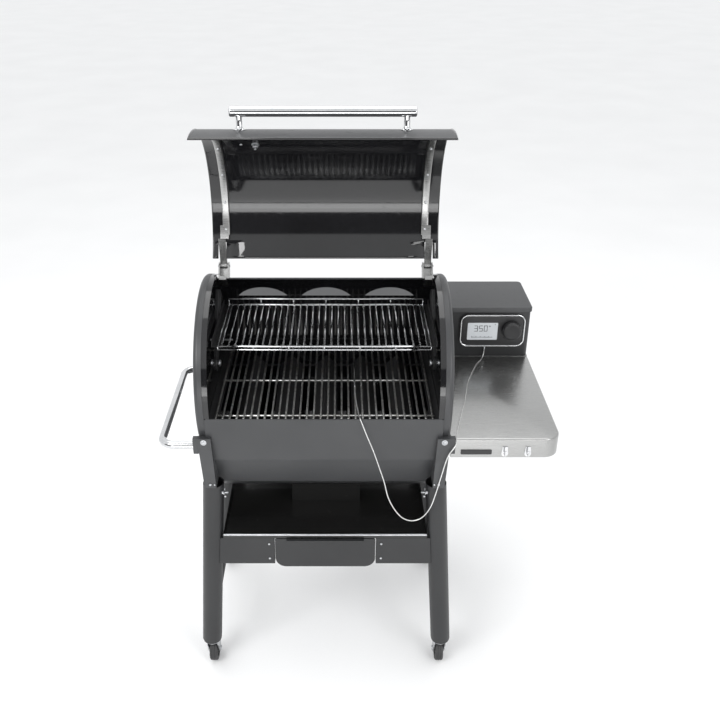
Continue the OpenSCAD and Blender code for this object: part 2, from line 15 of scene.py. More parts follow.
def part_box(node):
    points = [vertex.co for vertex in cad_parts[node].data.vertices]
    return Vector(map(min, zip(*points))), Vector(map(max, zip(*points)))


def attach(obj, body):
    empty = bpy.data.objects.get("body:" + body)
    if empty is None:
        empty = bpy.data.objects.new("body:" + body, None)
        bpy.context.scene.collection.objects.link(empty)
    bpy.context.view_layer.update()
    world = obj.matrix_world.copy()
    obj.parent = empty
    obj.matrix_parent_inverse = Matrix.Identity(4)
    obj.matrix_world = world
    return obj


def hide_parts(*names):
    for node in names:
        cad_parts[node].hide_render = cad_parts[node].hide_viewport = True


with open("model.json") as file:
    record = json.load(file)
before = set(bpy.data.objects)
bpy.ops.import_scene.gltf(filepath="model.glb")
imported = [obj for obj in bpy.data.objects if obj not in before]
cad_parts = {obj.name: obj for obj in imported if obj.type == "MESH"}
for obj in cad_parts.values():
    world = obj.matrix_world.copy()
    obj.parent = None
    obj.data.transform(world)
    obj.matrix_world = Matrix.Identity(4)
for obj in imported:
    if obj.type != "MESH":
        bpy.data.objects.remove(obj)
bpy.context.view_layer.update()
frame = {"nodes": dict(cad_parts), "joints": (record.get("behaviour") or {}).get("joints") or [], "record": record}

MM = 0.001
grate_low, grate_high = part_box("main_grate")
ORIGIN = Vector(
    ((grate_low.x + grate_high.x) / 2, grate_low.y + 26 * MM, grate_high.z - 3 * MM)
)
AXIS_Y, AXIS_Z = 200, 48  # the barrel's axis
BARREL_R = 257
HINGE_Y, HINGE_Z = 415, 264
LID_HALF, LID_IN = 330, 259.5
HANDLE_AT, HANDLE_TURN = 307, 168
TABLE_Z, TABLE_FRONT, TABLE_RIGHT, TABLE_LEFT = -55, -39, 638, 341
KNOB_X, KNOB_Z = 575, 45
PORT_Y, PLUG_X = 439.5, 497


def at(x, y, z):
    return ORIGIN + Vector((x, y, z)) * MM


# ---------- camera and probe cable ----------

camera = bpy.data.objects.new("camera", bpy.data.cameras.new("camera"))
bpy.context.scene.collection.objects.link(camera)
camera.location = at(42.2, -1979, 1201)
camera.rotation_euler = (math.radians(62.35), 0, 0)
camera.data.lens = 42.95
camera.data.shift_x = 0.0278
bpy.context.scene.camera = camera
bpy.context.scene.view_settings.view_transform = "Standard"

# From the plug, over the table, down past the bracket, up over the front lip and on to the grate
CABLE_ROUTE = [
    (497, 439.5, -34), (496, 437, -42), (492, 429, -50), (484, 414, -53.3),
    (474, 400, -53.4), (461, 372, -53.4), (444, 326, -53.4), (428, 279, -53.4),
    (413, 212, -53.4), (398, 144, -53.4), (386, 98, -53.4), (374, 50, -53.4),
    (362, 2, -53.4), (356.5, -24, -53.4), (354.5, -38, -52.8), (353.3, -50, -56),
    (349, -61, -63), (341, -66, -73), (334, -66, -85), (326, -66, -110),
    (316, -66, -158), (303, -66, -220), (291, -66, -263), (270, -66, -296),
    (243, -66, -307), (216, -66, -297), (193, -66, -268), (174, -66, -226),
    (162, -66, -175), (146, -66, -122), (130, -66, -72), (113, -65.5, -27),
    (102, -64, 4), (96.5, -59.5, 16.5), (94.5, -52, 19.6), (93.5, -40, 15.5),
    (92.5, -22, 7), (91, 5, 4.8), (87, 50, 4.8), (84.3, 95, 4.8), (84, 128, 5.6),
    (84, 140, 6),
]
CABLE_D = 3.0


def smooth(points, steps):
    """A curve through the points, with that many steps from each to the next."""
    p = [Vector(q) for q in points]
    out = []
    for i in range(len(p) - 1):
        a, b, c, d = p[max(i - 1, 0)], p[i], p[i + 1], p[min(i + 2, len(p) - 1)]
        for k in range(steps):
            u = k / steps
            out.append(
                0.5 * (2 * b + (c - a) * u + (2 * a - 5 * b + 4 * c - d) * u * u
                       + (3 * b - a - 3 * c + d) * u * u * u)
            )
    return out + [p[-1]]


# ---------- materials ----------


def look(name, dark, light, rough, metallic=0.0, mottle=6.0, grain=700.0, bump=0.03,
         stretch=(1, 1, 1), scuff=0.0, **fixed):
    """A procedural finish: two tones in soft mottling, a fine grain in gloss and bump, and scuffs.
    The grain is stretched along an axis for brushed metal. Fixed values go on the shader itself."""
    made = bpy.data.materials.new(name)
    made.use_nodes = True
    nodes, links = made.node_tree.nodes, made.node_tree.links
    shader = nodes["Principled BSDF"]
    shader.inputs["Metallic"].default_value = metallic
    for key, value in fixed.items():
        shader.inputs[key.replace("_", " ")].default_value = value
    place = nodes.new("ShaderNodeTexCoord")
    mapping = nodes.new("ShaderNodeMapping")
    mapping.inputs["Scale"].default_value = stretch
    links.new(place.outputs["Object"], mapping.inputs["Vector"])

    def noise(scale, detail, vector):
        node = nodes.new("ShaderNodeTexNoise")
        node.inputs["Scale"].default_value = scale
        node.inputs["Detail"].default_value = detail
        links.new(vector, node.inputs["Vector"])
        return node.outputs["Fac"]

    def ramp(value, low, high, a, b):
        node = nodes.new("ShaderNodeMapRange")
        for key, v in zip(("From Min", "From Max", "To Min", "To Max"), (low, high, a, b)):
            node.inputs[key].default_value = v
        links.new(value, node.inputs["Value"])
        return node.outputs["Result"]

    def add(a, b):
        node = nodes.new("ShaderNodeMath")
        links.new(a, node.inputs[0])
        links.new(b, node.inputs[1])
        return node.outputs["Value"]

    wide = noise(mottle, 4, place.outputs["Object"])
    fine = noise(grain, 3, mapping.outputs["Vector"])
    tone = nodes.new("ShaderNodeMix")
    tone.data_type = "RGBA"
    tone.inputs["A"].default_value = (*dark, 1)
    tone.inputs["B"].default_value = (*light, 1)
    links.new(ramp(add(wide, fine), 0.75, 1.25, 0, 1), tone.inputs["Factor"])
    links.new(tone.outputs["Result"], shader.inputs["Base Color"])
    gloss = ramp(fine, 0.3, 0.7, *rough)
    if scuff:
        marks = noise(mottle * 9, 8, place.outputs["Object"])
        gloss = add(gloss, ramp(marks, 0.58, 0.72, 0, scuff))
    links.new(gloss, shader.inputs["Roughness"])
    relief = nodes.new("ShaderNodeBump")
    relief.inputs["Strength"].default_value = bump
    relief.inputs["Distance"].default_value = 0.0004
    links.new(fine, relief.inputs["Height"])
    links.new(relief.outputs["Normal"], shader.inputs["Normal"])
    return made


LOOKS = {
    "charcoal_enamel": look("charcoal_enamel", (0.031, 0.032, 0.034), (0.042, 0.043, 0.045),
                            (0.34, 0.44), mottle=5, grain=900, bump=0.12, scuff=0.06),
    "black_enamel": look("black_enamel", (0.004, 0.004, 0.0045), (0.008, 0.008, 0.009),
                         (0.06, 0.11), mottle=7, grain=260, bump=0.02, scuff=0.08,
                         Coat_Weight=0.35, Coat_Roughness=0.05),
    "matt_black_steel": look("matt_black_steel", (0.014, 0.014, 0.015), (0.026, 0.026, 0.027),
                             (0.42, 0.6), mottle=9, grain=800, bump=0.2, scuff=0.1),
    "brushed_steel": look("brushed_steel", (0.36, 0.36, 0.355), (0.42, 0.42, 0.415), (0.24, 0.33),
                          1.0, mottle=3, grain=2400, bump=0.05, stretch=(0.008, 1, 1),
                          scuff=0.03),
    "chrome": look("chrome", (0.6, 0.61, 0.62), (0.72, 0.72, 0.73), (0.06, 0.12), 1.0,
                   mottle=9, grain=180, bump=0.02, scuff=0.1),
    "grate_steel": look("grate_steel", (0.4, 0.39, 0.37), (0.62, 0.62, 0.61), (0.2, 0.36), 1.0,
                        mottle=22, grain=500, bump=0.12, scuff=0.12),
    "zinc_steel": look("zinc_steel", (0.42, 0.43, 0.45), (0.58, 0.59, 0.6), (0.28, 0.42), 1.0,
                       mottle=60, grain=420, bump=0.08, scuff=0.08),
    "tray_enamel": look("tray_enamel", (0.0075, 0.0075, 0.0072), (0.0105, 0.0103, 0.01),
                        (0.16, 0.24), mottle=4, grain=260, bump=0.02, scuff=0.06,
                        Coat_Weight=0.2, Coat_Roughness=0.1),
    # A darker copy of the charcoal enamel, as painted shade on the legs, lower frame, crossbar, drawer front,
    # hopper body and control box walls
    "charcoal_painted_shade": look("charcoal_painted_shade", (0.013, 0.0135, 0.0145), (0.019, 0.0195, 0.0205), (0.36, 0.46),
                      mottle=5, grain=900, bump=0.12, scuff=0.06),
    "cast_metal": look("cast_metal", (0.032, 0.033, 0.035), (0.05, 0.051, 0.053), (0.38, 0.54),
                       mottle=12, grain=1100, bump=0.35, scuff=0.1),
    "foil": look("foil", (0.68, 0.68, 0.67), (0.8, 0.8, 0.79), (0.22, 0.36), 1.0,
                 mottle=30, grain=120, bump=0.5),
    "black_plastic": look("black_plastic", (0.011, 0.011, 0.012), (0.019, 0.019, 0.02),
                          (0.34, 0.48), mottle=14, grain=1500, bump=0.2, scuff=0.05),
    "wheel_plastic": look("wheel_plastic", (0.02, 0.02, 0.021), (0.036, 0.036, 0.037),
                          (0.46, 0.62), mottle=18, grain=900, bump=0.3, scuff=0.12),
    "pedal_plastic": look("pedal_plastic", (0.16, 0.165, 0.17), (0.21, 0.215, 0.22),
                          (0.4, 0.52), mottle=20, grain=1200, bump=0.2, scuff=0.08),
    "display": look("display", (0.5, 0.52, 0.54), (0.57, 0.59, 0.61), (0.1, 0.16), mottle=25,
                    grain=900, bump=0.02, Emission_Color=(0.62, 0.66, 0.7, 1),
                    Emission_Strength=0.12),
    "cable": look("cable", (0.6, 0.6, 0.59), (0.82, 0.82, 0.81), (0.24, 0.4), 0.8, mottle=90,
                  grain=1600, bump=0.8),
}
SLOT_OF = {s["node"]: s["material_slot"] for s in frame["record"]["subparts"]}

# ---------- shapes ----------


def loft(bm, loops, closed=False, caps=(True, True)):
    """Skins loops of equal length one to the next. caps says which ends close when it doesn't."""
    rows = [[bm.verts.new(p) for p in loop] for loop in loops]
    n = len(rows[0])
    for a, b in zip(rows, rows[1:] + (rows[:1] if closed else [])):
        for i in range(n):
            j = (i + 1) % n
            bm.faces.new((a[i], a[j], b[j], b[i]))
    if not closed and caps[0]:
        bm.faces.new(rows[0][::-1])
    if not closed and caps[1]:
        bm.faces.new(rows[-1])


def turned(bm, start, axis, profile, sides=24):
    """A turned shape: profile holds distances along the axis from start, and radii."""
    start, axis = Vector(start), Vector(axis).normalized()
    side = axis.orthogonal().normalized()
    other = axis.cross(side)
    turns = [2 * math.pi * k / sides for k in range(sides)]
    loft(bm, [
        [at(*(start + axis * d + r * (math.cos(t) * side + math.sin(t) * other))) for t in turns]
        for d, r in profile
    ])


def dome(r, rise, base=0.0, steps=4, up=True):
    """Part of a profile that closes a rod's end in a dome, from its rim up or down to its rim."""
    turn = [math.pi / 2 * k / steps for k in range(steps + 1)]
    points = [(base + rise * math.sin(t), max(r * math.cos(t), 0.02 * r)) for t in turn]
    return points if up else [(2 * base - d, q) for d, q in reversed(points)]


def rod(bm, a, b, r, sides=12):
    a, b = Vector(a), Vector(b)
    long = (b - a).length
    turned(bm, a, b - a, dome(r, 0.5 * r, 0.5 * r, 3, up=False)
           + dome(r, 0.5 * r, long - 0.5 * r, 3), sides)


def wire(bm, points, r, sides=12):
    """A round wire along the points."""
    p = [Vector(q) for q in points]
    last = len(p) - 1
    ahead = [(p[min(i + 1, last)] - p[max(i - 1, 0)]).normalized() for i in range(last + 1)]
    side = ahead[0].orthogonal().normalized()
    loops = []
    for q, t in zip(p, ahead):
        side = (side - side.dot(t) * t).normalized()
        other = t.cross(side)
        loops.append([
            at(*(q + r * (math.cos(2 * math.pi * k / sides) * side
                          + math.sin(2 * math.pi * k / sides) * other)))
            for k in range(sides)
        ])
    loft(bm, loops)


def extruded(bm, outline, axis, a, b):
    """An outline pushed along an axis. It is drawn in the other two coordinates, in order."""
    put = {
        "x": lambda u, v, w: at(w, u, v),
        "y": lambda u, v, w: at(u, w, v),
        "z": lambda u, v, w: at(u, v, w),
    }[axis]
    loft(bm, [[put(u, v, w) for u, v in outline] for w in (a, b)])


def arc(centre, r, a0, a1, steps):
    """Points round an arc, in degrees."""
    return [
        (centre[0] + r * math.cos(math.radians(a0 + (a1 - a0) * k / steps)),
         centre[1] + r * math.sin(math.radians(a0 + (a1 - a0) * k / steps)))
        for k in range(steps + 1)
    ]


def rounded(x, y, r, steps=8):
    """A rectangle with round corners. r is one radius, or four from the lower left round."""
    r = r if isinstance(r, (list, tuple)) else (r,) * 4
    corners = ((x[0] + r[0], y[0] + r[0], 180), (x[1] - r[1], y[0] + r[1], 270),
               (x[1] - r[2], y[1] - r[2], 0), (x[0] + r[3], y[1] - r[3], 90))
    return [p for (cx, cy, a), q in zip(corners, r) for p in arc((cx, cy), q, a, a + 90, steps)]


def barrel(x, r, turn):
    t = math.radians(turn)
    return at(x, AXIS_Y + r * math.cos(t), AXIS_Z + r * math.sin(t))


def swept(bm, profile, a0, a1, steps, closed=False):
    """A profile of X and radius swept round the barrel's axis."""
    turns = [a0 + (a1 - a0) * k / steps for k in range(steps + (0 if closed else 1))]
    loft(bm, [[barrel(x, r, t) for x, r in profile] for t in turns], closed)


def radial(bm, x, turn, r0, profile, sides=20):
    """A turned shape that stands on the barrel's curve."""
    t = math.radians(turn)
    out = Vector((0, math.cos(t), math.sin(t)))
    turned(bm, Vector((x, AXIS_Y, AXIS_Z)) + r0 * out, out, profile, sides)


lid_swing = next(j for j in frame["joints"] if j["name"] == "lid_hinge")["range_deg"][1]
hinge = at(0, HINGE_Y, HINGE_Z)
LID_POSE = (Matrix.Translation(hinge) @ Matrix.Rotation(-math.radians(lid_swing), 4, "X")
            @ Matrix.Translation(-hinge))


def piece(name, draw, body, slot, replaces=(), bevel=0.0, sharp=38, lid=False, shell=None,
          extra=()):
    """Makes a piece from a function that draws it. bevel, in millimetres, rounds its edges."""
    bm = bmesh.new()
    draw(bm)
    if lid:
        bmesh.ops.transform(bm, matrix=LID_POSE, verts=bm.verts)
    bmesh.ops.recalc_face_normals(bm, faces=bm.faces)
    mesh = bpy.data.meshes.new(name)
    bm.to_mesh(mesh)
    bm.free()
    mesh.materials.append(LOOKS[slot])
    for other in extra:
        mesh.materials.append(LOOKS[other])
    mesh.shade_smooth()
    mesh.set_sharp_from_angle(angle=math.radians(sharp))
    made = bpy.data.objects.new(name, mesh)
    bpy.context.scene.collection.objects.link(made)
    if shell:
        skin = made.modifiers.new("skin", "SOLIDIFY")
        skin.thickness, skin.offset = shell * MM, 0
        skin.use_even_offset = True
        if extra:
            skin.material_offset = skin.material_offset_rim = 1
    if bevel:
        soften(made, bevel)
    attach(made, body)
    if replaces:
        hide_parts(*replaces)
    return made


def soften(made, width, segments=2):
    edge = made.modifiers.new("edge", "BEVEL")
    edge.width, edge.segments = width * MM, segments
    edge.limit_method, edge.angle_limit = "ANGLE", math.radians(38)
    edge.harden_normals = True


def both(draw):
    """Draws the same thing on both sides."""
    def drawn(bm):
        for side in (-1, 1):
            draw(bm, side)
    return drawn


# ---------- CAD nodes that stay ----------

SOFT_EDGES = {  # how far each stamped, bent or moulded part's edges are rounded, in millimetres
    "leg_plugs": 1.2, "leg_brackets": 1.6, "lower_frame": 0.5, "front_crossbar": 1.0,
    "drawer_front": 0.9, "drawer_rails": 0.5, "drawer_tray": 0.5, "drip_pan": 0.4,
    "heat_shield_tray": 0.6, "side_plates": 1.0, "grate_ledges": 0.6, "heat_bars": 0.6,
    "hinge_brackets": 0.6, "table_arms": 0.8, "hopper_body": 0.7, "hopper_lid": 1.0,
    "power_inlet": 0.5, "auger_motor": 1.2, "fan_housing": 0.8, "probe_ports": 0.3,
    "left_brake_lever": 0.8, "right_brake_lever": 0.8, "front_left_fork": 0.5,
    "front_right_fork": 0.5, "rear_left_fork": 0.5, "rear_right_fork": 0.5,
}

# These parts take the darker copy of the charcoal enamel: painted shade that makes them darker than the cookbox
LOOK_OF = dict.fromkeys(["front_legs", "rear_legs", "lower_frame", "front_crossbar",
                         "drawer_front", "hopper_body"], "charcoal_painted_shade")
LOOK_OF["hinge_brackets"] = "brushed_steel"
LOOK_OF["heat_shield_tray"] = "tray_enamel"

for name, node in frame["nodes"].items():
    node.data.materials.clear()
    node.data.materials.append(LOOKS[LOOK_OF.get(name, SLOT_OF[name])])
    if name in SOFT_EDGES:
        join = node.modifiers.new("join", "WELD")
        join.merge_threshold = 0.00002
        soften(node, SOFT_EDGES[name])

# ---------- cable ----------

cable_line = smooth(CABLE_ROUTE, 4)
cable = piece("probe_cable_braid", lambda bm: wire(bm, cable_line, CABLE_D / 2, 12), "root",
              "cable", ["probe_cable"])


def draw_plug(bm):
    turned(bm, (PLUG_X, PORT_Y, -4), (0, 0, -1), [(0, 0.9), (0.4, 1.15), (13.1, 1.15)], 16)
    turned(bm, (PLUG_X, PORT_Y, -17.1), (0, 0, -1),
           [(0, 2.9), (0.5, 3.4), (1.6, 3.4), (2, 3.0), (2.4, 3.4), (3.4, 3.4), (3.8, 3.0),
            (4.2, 3.4), (5.2, 3.4), (5.6, 3.0), (6, 3.4), (8.3, 3.4), (8.9, 3.0), (10, 2.8),
            (11, 2.5), (13, 2.2), (16.9, 1.9)], 24)


plug = piece("plug_and_strain_relief", draw_plug, "root", "chrome", ["probe_plug"])


def draw_probe_grip(bm):
    turned(bm, (84, 139.4, 6), (0, 1, 0),
           [(0, 1.9), (1, 2.6), (2, 3), (7, 3), (7.6, 2.75), (8.2, 3), (10, 3), (10.6, 2.75),
            (11.2, 3), (13, 3), (13.6, 2.75), (14.2, 3), (22, 3), (24, 2.8)], 24)


grip = piece("meat_probe_grip", draw_probe_grip, "root", "chrome")

# ---------- grates ----------


def draw_main_grate(bm):
    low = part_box("main_grate")[0]
    count, pitch, r = 32, 18.7, 3.0
    for i in range(count):
        x = (i - (count - 1) / 2) * pitch
        rod(bm, (x, -26, 0), (x, 417, 0), r)
    for y in (0, 195, 390):
        rod(bm, (-296, y, -5.6), (296, y, -5.6), 3.5)
        for i in range(count):
            x = (i - (count - 1) / 2) * pitch
            turned(bm, (x, y - 3.4, -2.8), (0, 1, 0),
                   [(0, 0.6), (1.4, 2.2), (5.4, 2.2), (6.8, 0.6)], 8)


piece("main_grate_rods", draw_main_grate, "root", "grate_steel", ["main_grate"])


def draw_upper_grate(bm):
    z, r = 150, 2.5
    xs = [(i - 15) * 18.7 for i in range(31)]
    for x in xs + [-291, 291]:
        rod(bm, (x, 105, z), (x, 386, z), r)
    front, rear = z - 10, z + 19
    for y, v, q in ((106, z, 2.7), (385, z, 2.7), (106, front, 2.5), (385, rear, 2.5)):
        rod(bm, (-293, y, v), (293, y, v), q)
    for i in range(7):
        x = -291 + 97 * i
        rod(bm, (x, 106, front), (x, 106, z), 2.2)
        rod(bm, (x, 385, z), (x, 385, rear), 2.2)


piece("upper_grate_rods", draw_upper_grate, "root", "chrome", ["upper_grate"])

# ---------- lid ----------

ARM_IN, ARM_OUT, NOTCH_END = 290.1, 313.2, 57.6
LID_REAR, LID_FRONT = 47, 185


def draw_lid_skin(bm):
    """The lid's sheet as a grid, open where the two hinge arms pass through its rear edge."""
    xs = [-LID_HALF, -327, -ARM_OUT, -ARM_IN] + [-232 + 58 * k for k in range(9)] + [
        ARM_IN, ARM_OUT, 327, LID_HALF]
    rear = [LID_REAR + (NOTCH_END - LID_REAR) * k / 6 for k in range(6)]
    turns = rear + [NOTCH_END + (LID_FRONT - NOTCH_END) * k / 84 for k in range(85)]
    grid = [[bm.verts.new(barrel(x, LID_IN + 1.25, t)) for x in xs] for t in turns]
    for i in range(len(turns) - 1):
        for j in range(len(xs) - 1):
            middle_x = abs(xs[j] + xs[j + 1]) / 2
            notch = turns[i] < NOTCH_END - 0.01 and ARM_IN - 1 < middle_x < ARM_OUT
            if not notch:
                bm.faces.new((grid[i][j], grid[i][j + 1], grid[i + 1][j + 1], grid[i + 1][j]))


def draw_lid_edges(bm):
    """The rolled front edge, the turned side edges and the rear edge."""
    rolled = [(x, LID_IN + 2.6, LID_FRONT - 0.5) for x in (-LID_HALF + 1, LID_HALF - 1)]
    a, b = [(Vector(barrel(*p)) - ORIGIN) / MM for p in rolled]
    rod(bm, a, b, 2.9, 16)
    for side in (-1, 1):
        profile = [(side * (LID_HALF - 3) + 2.8 * u, LID_IN + 2.1 + 1.9 * v)
                   for u, v in arc((0, 0), 1, 0, 330, 11)]
        swept(bm, profile, LID_REAR, LID_FRONT, 84)
    for span in ((-LID_HALF + 1, -ARM_OUT), (-ARM_IN, ARM_IN), (ARM_OUT, LID_HALF - 1)):
        a, b = [(Vector(barrel(x, LID_IN + 1.3, LID_REAR + 0.2)) - ORIGIN) / MM for x in span]
        rod(bm, a, b, 1.7, 12)


piece("lid_skin", draw_lid_skin, "lid", "charcoal_enamel", ["lid_shell"], lid=True, shell=2.5,
      extra=["black_enamel"])
piece("lid_rolled_edges", draw_lid_edges, "lid", "black_enamel", lid=True)


def draw_strap(bm, side):
    """A channel of bright steel along the inside of the lid, flanged along both edges."""
    x0, x1, low, high, t = 279, 299, 248.5, LID_IN - 0.3, 1.4
    profile = ([(x0, high)] + arc((x0 + 2.5, low + 2.5), 2.5, 180, 270, 4)
               + arc((x1 - 2.5, low + 2.5), 2.5, 270, 360, 4) + [(x1, high), (x1 - t, high)]
               + arc((x1 - 2.5, low + 2.5), 2.5 - t, 360, 270, 4)
               + arc((x0 + 2.5, low + 2.5), 2.5 - t, 270, 180, 4) + [(x0 + t, high)])
    swept(bm, [(side * x, r) for x, r in profile], 62.3, 178, 72)


piece("lid_strap_channels", both(draw_strap), "lid", "brushed_steel", ["lid_straps"], lid=True)


def draw_arm(bm, side):
    """A bright arm from its hinge barrel to a foot under the strap's end, flanged at its edges."""
    x0, x1, low, high, flange = 291.7, 312.3, 262.4, 265.6, 1.6
    plate = [(HINGE_Y, low), (HINGE_Y, high), (327, high), (327, low)]
    extruded(bm, plate, "x", side * x0, side * x1)
    lip = [(HINGE_Y - 2, low - 3), (HINGE_Y - 2, high), (340, high), (340, low - 1)]
    for x in (x0, x1 - flange):
        extruded(bm, lip, "x", side * x, side * (x + flange))
    foot = [(281.5, 246.6), (306, 246.6), (306, 248.2), (281.5, 248.2)]
    swept(bm, [(side * x, r) for x, r in foot], 59.5, 68.5, 10)
    turned(bm, (side * 291.9, HINGE_Y, HINGE_Z), (side, 0, 0),
           [(0, 4.3), (0, 7.4), (0.6, 8), (19.6, 8), (20.2, 7.4), (20.2, 4.3)], 32)


def draw_hinge_web(bm, side):
    """The plate that joins a hinge bracket's two ears behind the arm."""
    line = [(425.4, 261), (403.1, 209.6)]
    web = line + [(y - 2, z + 0.9) for y, z in reversed(line)]
    extruded(bm, web, "x", side * 290.6, side * 312.9)


piece("hinge_bracket_webs", both(draw_hinge_web), "root", "brushed_steel", bevel=0.3)
piece("lid_hinge_arms", both(draw_arm), "lid", "brushed_steel", ["lid_arms"], bevel=0.5, lid=True)


def draw_lid_rivets(bm, side):
    for turn in (66, 84, 104, 128, 152, 172):
        radial(bm, side * 289, turn, 248.5, [(0.6, 3.6), (0.6, 4.2), (-1.2, 4.1), (-2.3, 3.3),
                                             (-2.9, 1.8), (-3.1, 0.3)])
    radial(bm, side * 210, HANDLE_TURN, LID_IN, [(-0.1, 9), (-1.2, 9), (-1.4, 6.5), (-5, 6.5),
                                                 (-6.2, 4.8), (-6.3, 0.4)], 6)
    radial(bm, side * 238, HANDLE_TURN, LID_IN, [(-0.1, 4), (-1.4, 3.6), (-2.4, 2.2), (-2.6, 0.3)])


piece("lid_rivets", both(draw_lid_rivets), "lid", "zinc_steel", ["lid_fasteners"], lid=True)


def draw_lid_boss(bm):
    """The bolt, washer and nut that hold the lid's thermometer stem, and a rivet beside them."""
    radial(bm, -187, 129, LID_IN, [(-0.1, 11), (-1.2, 11), (-1.6, 9.6)], 28)
    radial(bm, -187, 129, LID_IN, [(-1.2, 8), (-8, 8), (-9, 7)], 6)
    radial(bm, -187, 129, LID_IN, [(-8, 3.4), (-15, 3.4), (-16, 2.4)], 16)
    radial(bm, -226, 129, LID_IN, [(-0.1, 4), (-1.4, 3.6), (-2.4, 2.2), (-2.6, 0.3)])


piece("lid_boss_bolt", draw_lid_boss, "lid", "zinc_steel", lid=True)


def draw_lid_handle(bm):
    t = math.radians(HANDLE_TURN)
    y, z = AXIS_Y + HANDLE_AT * math.cos(t), AXIS_Z + HANDLE_AT * math.sin(t)
    end = [(0, 2), (0.4, 9), (1.2, 11.4), (2.6, 12.6), (4.4, 13), (14, 13), (14.4, 12.4),
           (15.2, 12.4), (15.6, 13)]
    turned(bm, (-235, y, z), (1, 0, 0), end + [(470 - d, r) for d, r in reversed(end)], 40)
    for side in (-1, 1):
        radial(bm, side * 210, HANDLE_TURN, LID_IN + 2.7,
               [(0, 15), (1.4, 15), (3, 12), (6, 9), (11, 8), (30, 8), (36, 9.5), (40, 10)], 28)


piece("lid_handle_bar", draw_lid_handle, "lid", "chrome", ["lid_handle"], lid=True)

# ---------- side table and its fittings ----------

CORNER = 45
APRON = 58


def table_outline(t):
    x1, y0 = TABLE_RIGHT - t, TABLE_FRONT + t
    r = CORNER - t
    return ([(TABLE_LEFT, y0)] + arc((x1 - r, y0 + r), r, 270, 360, 16)
            + [(x1, 446 - t), (TABLE_LEFT, 446 - t)])


def draw_table(bm):
    """A pan of brushed steel turned down on three sides, with a soft top edge."""
    roll, foot = 5.0, TABLE_Z - APRON
    outside = [(0, foot)]
    for k in range(5):
        a = math.pi / 2 * k / 4
        outside.append((roll * (1 - math.cos(a)), TABLE_Z - roll + roll * math.sin(a)))
    inside = [(6, TABLE_Z - 1.6), (1.6, TABLE_Z - 6), (1.6, foot + 1.4), (9, foot + 1.4), (9, foot)]
    for side, caps in ((outside, (False, True)), (inside, (True, False))):
        loft(bm, [[at(u, v, z) for u, v in table_outline(t)] for t, z in side], caps=caps)
    bmesh.ops.bridge_loops(bm, edges=[e for e in bm.edges if e.is_boundary])


piece("side_table_pan", draw_table, "root", "brushed_steel", ["side_table"])


def draw_badge(bm):
    extruded(bm, rounded((368, 452), (-103, -88), 3), "y", TABLE_FRONT - 1.8, TABLE_FRONT + 0.2)


piece("table_badge_plate", draw_badge, "root", "black_enamel", bevel=0.5)


def draw_hooks(bm):
    for x in (487, 549):
        extruded(bm, [(x - 7, -78), (x - 9, -100)] + arc((x, -100), 9, 180, 360, 10)
                 + [(x + 9, -100), (x + 7, -78)], "y", TABLE_FRONT - 2.8, TABLE_FRONT - 0.2)
        bend = [(y, z) for y, z in arc((TABLE_FRONT - 8, -96), 6, 270, 180, 8)]
        wire(bm, [(x, TABLE_FRONT - 1, -102)] + [(x, y, z) for y, z in bend]
             + [(x, TABLE_FRONT - 14, -86)], 2.3, 12)
        turned(bm, (x, TABLE_FRONT - 14, -86), (0, 0, 1), dome(2.6, 2.4, 0), 12)


piece("table_tool_hooks", draw_hooks, "root", "chrome", ["tool_hooks"], bevel=0.3)

# ---------- control box ----------

BOX_FRONT, BOX_BACK, BOX_TOP = 446.5, 652, 100


def draw_housing(bm):
    low, high = TABLE_Z, BOX_TOP
    x, y = (TABLE_LEFT + 6, TABLE_RIGHT - 3), (BOX_FRONT, BOX_BACK)
    loops = []
    rim = ((2, low), (0.4, low + 1), (0, low + 2.4), (0, high), (2, high), (2, low + 2.4))
    for t, z in rim:
        loops.append([at(u, v, z) for u, v in
                      rounded((x[0] + t, x[1] - t), (y[0] + t, y[1] - t), 12 - t, 10)])
    loft(bm, loops)


walls = piece("control_box_walls", draw_housing, "root", "charcoal_enamel", ["control_housing"])
# The walls take the darker copy of the charcoal enamel too: painted shade that sets them darker than the cap
walls.data.materials[0] = LOOKS["charcoal_painted_shade"]


def draw_cap(bm):
    x, y, low, high = (TABLE_LEFT + 3, TABLE_RIGHT), (440, 656), 100.4, 115
    loops = [[at(u, v, low) for u, v in
              rounded((x[0] + 2, x[1] - 2), (y[0] + 2, y[1] - 2), 12, 10)]]
    for k in range(6):
        a = math.pi / 2 * k / 5
        inset = 4 * (1 - math.cos(a))
        loops.append([at(u, v, high - 4 + 4 * math.sin(a)) for u, v in
                      rounded((x[0] + inset, x[1] - inset), (y[0] + inset, y[1] - inset),
                              14 - inset, 10)])
    loops.insert(1, [at(u, v, low) for u, v in rounded(x, y, 14, 10)])
    loft(bm, loops)


piece("control_box_cap", draw_cap, "root", "charcoal_enamel", ["control_top"])


def draw_shelf(bm):
    """The ledge that carries the control box behind the table."""
    extruded(bm, rounded((TABLE_LEFT + 1, TABLE_RIGHT - 0.5), (446.1, 655), 3), "z",
             TABLE_Z - 2.4, TABLE_Z - 0.1)


piece("control_box_shelf", draw_shelf, "root", "brushed_steel", bevel=0.5)

BEZEL_X, BEZEL_Z, BEZEL_FACE = (416, 618), (-15, 94), 432.5


def draw_bezel_ring(bm):
    """The bright trim round the control panel, round in section at the front."""
    loops = []
    for inset, y in ((0, BOX_FRONT - 0.2), (0, BEZEL_FACE + 2), (0.6, BEZEL_FACE + 0.6),
                     (1.8, BEZEL_FACE), (3.2, BEZEL_FACE), (4.6, BEZEL_FACE + 0.8),
                     (5, BEZEL_FACE + 2.2), (5, BOX_FRONT - 0.2)):
        loops.append([at(u, y, v) for u, v in
                      rounded((BEZEL_X[0] + inset, BEZEL_X[1] - inset),
                              (BEZEL_Z[0] + inset, BEZEL_Z[1] - inset), 25 - inset, 12)])
    loft(bm, loops, closed=True)


